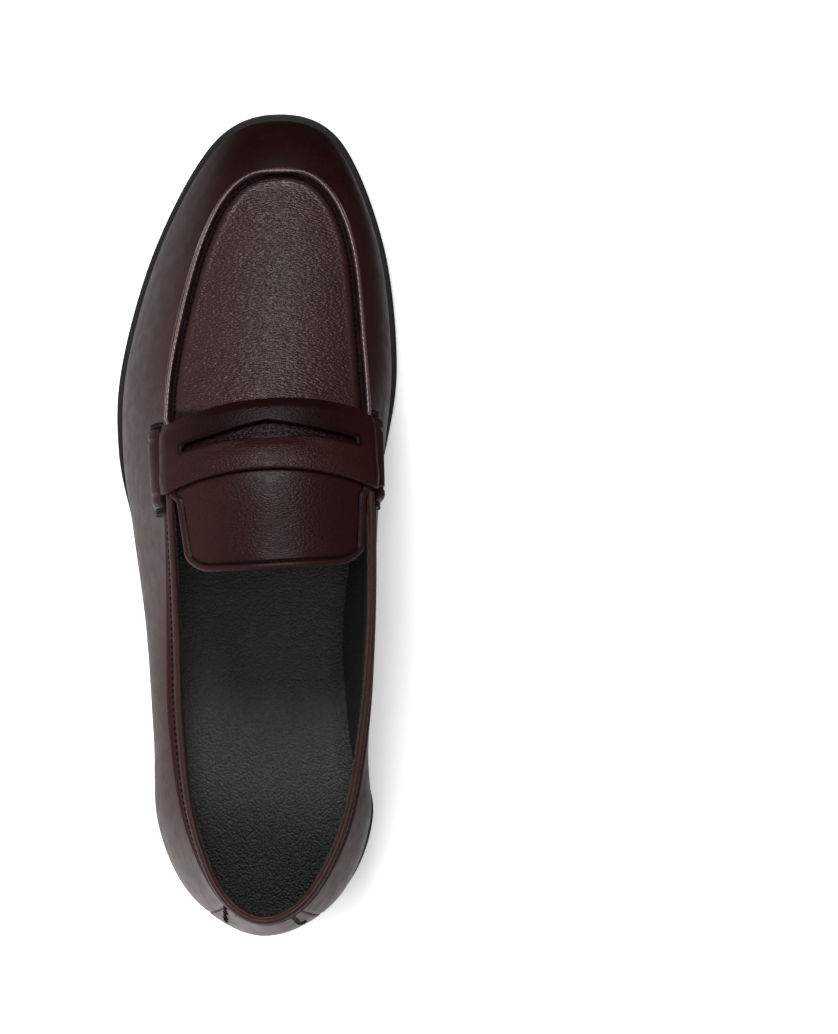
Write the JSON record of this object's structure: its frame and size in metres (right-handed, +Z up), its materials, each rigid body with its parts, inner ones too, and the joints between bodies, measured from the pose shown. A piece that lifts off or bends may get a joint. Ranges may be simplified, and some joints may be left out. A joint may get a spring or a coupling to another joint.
{
  "type": "penny loafer",
  "caption": "Leather slip-on shoe with a raised apron seam, slotted saddle strap, flexible tongue, welted rubber sole and low stacked heel.",
  "frame": {"origin": "bottom centre of the bounding box, on the ground plane that the ball of the sole and the heel tip rest on", "axes": "+Y along the shoe towards the toe, +X towards the inner side of this left shoe, +Z up"},
  "size_m": [0.1026, 0.2958, 0.0956],
  "materials": {
    "wall_leather": "burnished smooth calf, near black at the toe, fading to grey brown on the outer side",
    "apron_leather": "dark oxblood calf with a fine wrinkled grain and a soft sheen",
    "strap_leather": "oxblood calf, redder at its centre, soft sheen",
    "binding_leather": "thin folded leather, satin",
    "black_lining": "matte pebbled black lining leather",
    "canvas": "unbleached twill",
    "leatherboard": "matte fibre board",
    "foam": "matte closed foam",
    "cork": "matte cork granules",
    "steel": "plain spring steel",
    "sole_rubber": "charcoal rubber, matte",
    "welt_rubber": "charcoal rubber with fine ribs, satin",
    "heel_rubber": "charcoal rubber with fine layer lines"
  },
  "bodies": {
    "shoe": {"outsole": "sole_rubber", "welt": "welt_rubber", "cork_filler": "cork", "shank": "steel", "insole_board": "leatherboard", "heel_cushion": "foam", "sock_liner": "black_lining", "heel_block": "heel_rubber", "heel_top_piece": "sole_rubber", "heel_nail_1": "steel", "heel_nail_2": "steel", "heel_nail_3": "steel", "heel_nail_4": "steel", "heel_nail_5": "steel", "upper_wall": "wall_leather", "heel_panel": "wall_leather", "apron": "apron_leather", "apron_piping": "apron_leather", "saddle_strap": "strap_leather", "strap_roll_outer": "strap_leather", "strap_roll_inner": "strap_leather", "topline_binding": "binding_leather", "heel_counter": "leatherboard", "side_reinforcement_outer": "leatherboard", "side_reinforcement_inner": "leatherboard", "toe_puff": "canvas", "heel_lining": "black_lining", "quarter_lining_outer": "black_lining", "quarter_lining_inner": "black_lining", "vamp_lining": "canvas", "apron_lining": "canvas"},
    "tongue_flap": {"tongue": "strap_leather", "tongue_lining": "black_lining"}
  },
  "joints": [
    {"name": "tongue_lift", "type": "hinge", "parent": "shoe", "child": "tongue_flap", "pos_m": [0.008, 0.0162, 0.088], "axis": [-1, 0, 0], "range_deg": [-4, 20], "stiffness_Nm_per_rad": 0.05}
  ]
}
